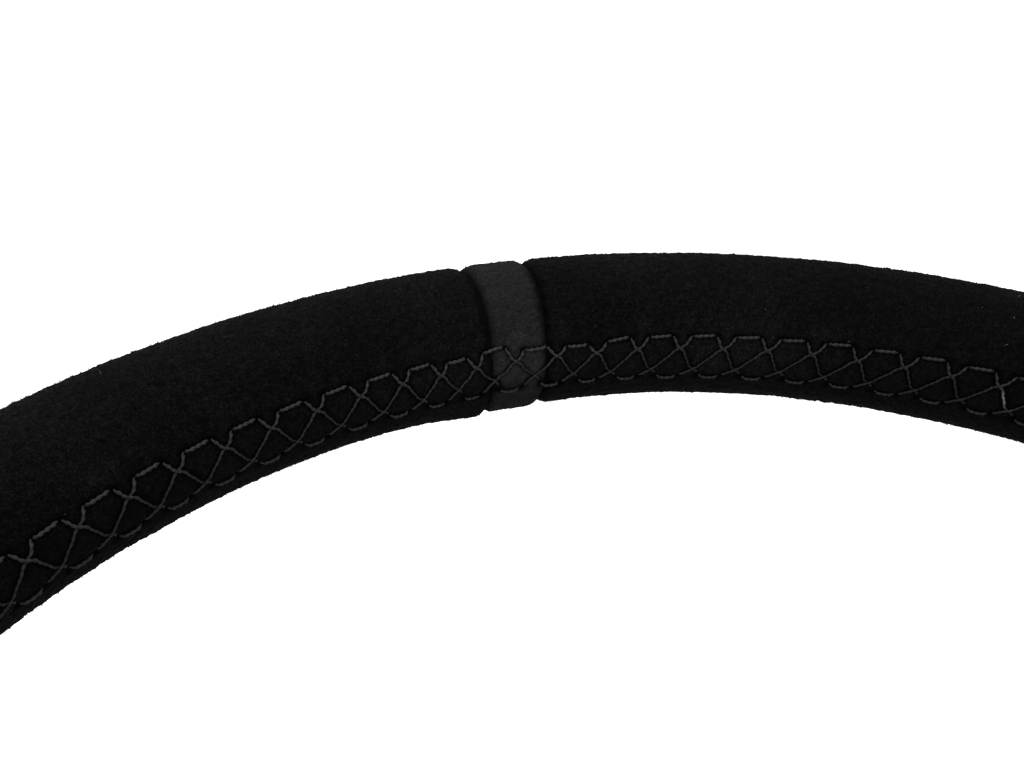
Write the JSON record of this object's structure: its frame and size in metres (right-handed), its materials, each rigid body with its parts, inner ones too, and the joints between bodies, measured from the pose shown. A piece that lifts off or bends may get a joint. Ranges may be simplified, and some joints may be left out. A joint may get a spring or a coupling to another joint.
{
  "type": "quick release steering wheel",
  "caption": "Round suede-covered steering wheel with a laced inner seam, dished spokes, a horn push and a sliding-collar ball-lock coupling to a splined column stub.",
  "frame": {"origin": "centre of the column flange's back face, on the steering axis", "axes": "+Z along the steering axis towards the driver, +Y towards twelve o'clock on the rim"},
  "size_m": [0.35, 0.35, 0.126],
  "materials": {
    "suede_black": "black suede with a short soft nap",
    "suede_grey": "dark grey suede with a short soft nap",
    "thread_grey": "dark grey waxed lacing thread",
    "rim_foam": "moulded integral-skin foam",
    "spoke_black": "black anodised, fine bead-blasted satin",
    "black_anodised": "black anodised over turned marks",
    "collar_anodised": "clear anodised, satin turned",
    "stub_steel": "machined and lightly oiled",
    "spring_steel": "drawn spring wire",
    "core_steel": "mill finish",
    "ball_steel": "polished hardened steel",
    "black_steel": "black oxide",
    "rubber": "moulded matt rubber",
    "horn_plastic": "fine spark-eroded grain",
    "bezel_plastic": "satin gloss",
    "brass": "stamped brass strip"
  },
  "bodies": {
    "column": {"column_flange": "black_anodised", "spline_stub": "stub_steel", "stub_screws": "black_steel", "damper_ring": "rubber"},
    "wheel": {"coupler_body": "black_anodised", "collar_circlip": "black_steel", "collar_spring": "spring_steel", "spoke_frame": "spoke_black", "trim_ring": "black_anodised", "wheel_screws": "black_steel", "horn_housing": "horn_plastic", "horn_bezel": "bezel_plastic", "horn_contact_lower": "brass", "horn_spring_plate": "brass", "horn_spring": "spring_steel", "horn_terminals": "brass", "rim_core_ring": "core_steel", "core_rivets": "core_steel", "foam_core": "rim_foam", "suede_upper_left": "suede_black", "suede_lower_left": "suede_black", "suede_upper_right": "suede_black", "suede_lower_right": "suede_black", "centre_band": "suede_grey", "seam_lacing": "thread_grey", "spoke_boot_left": "rubber", "spoke_boot_right": "rubber", "spoke_boot_lower": "rubber"},
    "collar": {"release_collar": "collar_anodised"},
    "horn": {"horn_cap": "horn_plastic", "horn_contact_upper": "brass"},
    "ball_1": {"lock_ball_1": "ball_steel"},
    "ball_2": {"lock_ball_2": "ball_steel"},
    "ball_3": {"lock_ball_3": "ball_steel"},
    "ball_4": {"lock_ball_4": "ball_steel"},
    "ball_5": {"lock_ball_5": "ball_steel"},
    "ball_6": {"lock_ball_6": "ball_steel"},
    "ball_7": {"lock_ball_7": "ball_steel"},
    "ball_8": {"lock_ball_8": "ball_steel"}
  },
  "joints": [
    {"name": "wheel_pull", "type": "slide", "parent": "column", "child": "wheel", "axis": [0, 0, 1], "range_m": [0, 0.045]},
    {"name": "collar_slide", "type": "slide", "parent": "wheel", "child": "collar", "axis": [0, 0, 1], "range_m": [-0.0075, 0], "stiffness_N_per_m": 2000, "springref_m": -0.0125, "deforming": ["collar_spring"]},
    {"name": "horn_press", "type": "slide", "parent": "wheel", "child": "horn", "axis": [0, 0, -1], "range_m": [0, 0.002], "stiffness_N_per_m": 1500, "springref_m": -0.002, "deforming": ["horn_spring"]},
    {"name": "ball_1_lock", "type": "slide", "parent": "wheel", "child": "ball_1", "axis": [1, 0, 0], "range_m": [-0.0015, 0]},
    {"name": "ball_2_lock", "type": "slide", "parent": "wheel", "child": "ball_2", "axis": [0.7071, 0.7071, 0], "range_m": [-0.0015, 0]},
    {"name": "ball_3_lock", "type": "slide", "parent": "wheel", "child": "ball_3", "axis": [0, 1, 0], "range_m": [-0.0015, 0]},
    {"name": "ball_4_lock", "type": "slide", "parent": "wheel", "child": "ball_4", "axis": [-0.7071, 0.7071, 0], "range_m": [-0.0015, 0]},
    {"name": "ball_5_lock", "type": "slide", "parent": "wheel", "child": "ball_5", "axis": [-1, 0, 0], "range_m": [-0.0015, 0]},
    {"name": "ball_6_lock", "type": "slide", "parent": "wheel", "child": "ball_6", "axis": [-0.7071, -0.7071, 0], "range_m": [-0.0015, 0]},
    {"name": "ball_7_lock", "type": "slide", "parent": "wheel", "child": "ball_7", "axis": [0, -1, 0], "range_m": [-0.0015, 0]},
    {"name": "ball_8_lock", "type": "slide", "parent": "wheel", "child": "ball_8", "axis": [0.7071, -0.7071, 0], "range_m": [-0.0015, 0]}
  ],
  "couplings": [
    {"joint": "ball_1_lock", "follows": "collar_slide", "ratio": 0.2},
    {"joint": "ball_2_lock", "follows": "collar_slide", "ratio": 0.2},
    {"joint": "ball_3_lock", "follows": "collar_slide", "ratio": 0.2},
    {"joint": "ball_4_lock", "follows": "collar_slide", "ratio": 0.2},
    {"joint": "ball_5_lock", "follows": "collar_slide", "ratio": 0.2},
    {"joint": "ball_6_lock", "follows": "collar_slide", "ratio": 0.2},
    {"joint": "ball_7_lock", "follows": "collar_slide", "ratio": 0.2},
    {"joint": "ball_8_lock", "follows": "collar_slide", "ratio": 0.2}
  ]
}
